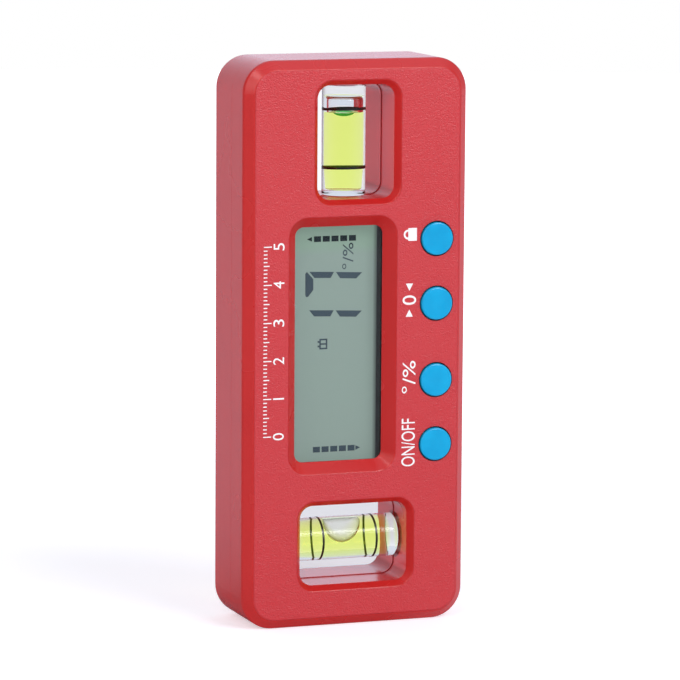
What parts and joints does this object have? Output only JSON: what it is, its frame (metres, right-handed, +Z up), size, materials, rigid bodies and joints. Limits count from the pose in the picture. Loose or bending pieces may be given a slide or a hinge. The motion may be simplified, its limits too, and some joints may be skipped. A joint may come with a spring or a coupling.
{
  "type": "digital spirit level",
  "caption": "Pocket digital spirit level: a red moulded case with bubble vials in open windows, a tall LCD and round blue push buttons beside it.",
  "frame": {"origin": "middle of the bottom end of the overall box, on the surface that the level stands on", "axes": "+Z up along the case's length, +X towards the magnetic edge on the button side, -Y out of the front face"},
  "size_m": [0.062, 0.026, 0.15],
  "materials": {
    "red_case": "fine spark-textured moulded ABS",
    "blue_cap": "satin moulded plastic",
    "clear_pane": "clear acrylic sheet",
    "black_frame": "fine-textured black moulding",
    "lcd_film": "grey-green polarising film",
    "lcd_glass": "thin float glass",
    "foam": "closed-cell foam",
    "zebra_rubber": "layered silicone rubber",
    "circuit_board": "green solder mask on glass laminate",
    "zinc_screw": "zinc-plated steel",
    "nickel_magnet": "nickel-plated magnet",
    "black_resin": "cast black resin",
    "crystal_can": "drawn can",
    "ceramic_chip": "fired ceramic",
    "switch_black": "moulded switch housing",
    "switch_plunger": "moulded plunger",
    "cell_sleeve": "printed sleeve over a steel can",
    "contact_strip": "nickel-plated spring strip",
    "red_lead": "insulated wire",
    "black_lead": "insulated wire",
    "vial_acrylic": "polished clear acrylic",
    "vial_liquid": "dyed spirit",
    "vial_air": "air bubble in the spirit"
  },
  "bodies": {
    "case": {"front_shell": "red_case", "rear_shell": "red_case", "display_window": "clear_pane", "lcd_bezel": "black_frame", "lcd_front_polariser": "lcd_film", "lcd_reflector": "lcd_film", "lcd_front_glass": "lcd_glass", "lcd_rear_glass": "lcd_glass", "lcd_cushion": "foam", "zebra_strip": "zebra_rubber", "main_board": "circuit_board", "case_screws": "zinc_screw", "board_screws": "zinc_screw", "base_magnets": "nickel_magnet", "controller_chip": "black_resin", "tilt_sensor": "black_resin", "clock_crystal": "crystal_can", "board_capacitors": "ceramic_chip", "hold_switch_body": "switch_black", "zero_switch_body": "switch_black", "unit_switch_body": "switch_black", "power_switch_body": "switch_black", "battery_left": "cell_sleeve", "battery_right": "cell_sleeve", "bridge_contact": "contact_strip", "negative_contact": "contact_strip", "positive_contact": "contact_strip", "positive_lead": "red_lead", "negative_lead": "black_lead", "level_vial_tube": "vial_acrylic", "level_vial_plug": "vial_acrylic", "plumb_vial_tube": "vial_acrylic", "plumb_vial_plug": "vial_acrylic", "level_vial_liquid": "vial_liquid", "plumb_vial_liquid": "vial_liquid"},
    "hold_key": {"hold_button": "blue_cap", "hold_switch_plunger": "switch_plunger"},
    "zero_key": {"zero_button": "blue_cap", "zero_switch_plunger": "switch_plunger"},
    "unit_key": {"unit_button": "blue_cap", "unit_switch_plunger": "switch_plunger"},
    "power_key": {"power_button": "blue_cap", "power_switch_plunger": "switch_plunger"},
    "door": {"battery_door": "red_case"},
    "level_bubble": {"level_vial_bubble": "vial_air"},
    "plumb_bubble": {"plumb_vial_bubble": "vial_air"}
  },
  "joints": [
    {"name": "hold_press", "type": "slide", "parent": "case", "child": "hold_key", "axis": [0, 1, 0], "range_m": [0, 0.0005], "stiffness_N_per_m": 600, "springref_m": -0.0015},
    {"name": "zero_press", "type": "slide", "parent": "case", "child": "zero_key", "axis": [0, 1, 0], "range_m": [0, 0.0005], "stiffness_N_per_m": 600, "springref_m": -0.0015},
    {"name": "unit_press", "type": "slide", "parent": "case", "child": "unit_key", "axis": [0, 1, 0], "range_m": [0, 0.0005], "stiffness_N_per_m": 600, "springref_m": -0.0015},
    {"name": "power_press", "type": "slide", "parent": "case", "child": "power_key", "axis": [0, 1, 0], "range_m": [0, 0.0005], "stiffness_N_per_m": 600, "springref_m": -0.0015},
    {"name": "door_swing", "type": "hinge", "parent": "case", "child": "door", "pos_m": [0, 0.013, 0.101], "axis": [1, 0, 0], "range_deg": [0, 75]},
    {"name": "level_bubble_slide", "type": "slide", "parent": "case", "child": "level_bubble", "axis": [0, 0, 1], "range_m": [-0.0185, 0], "stiffness_N_per_m": 2, "springref_m": 0.02, "deforming": ["level_vial_liquid"]},
    {"name": "plumb_bubble_slide", "type": "slide", "parent": "case", "child": "plumb_bubble", "axis": [1, 0, 0], "range_m": [-0.007, 0.007], "stiffness_N_per_m": 1, "deforming": ["plumb_vial_liquid"]}
  ]
}
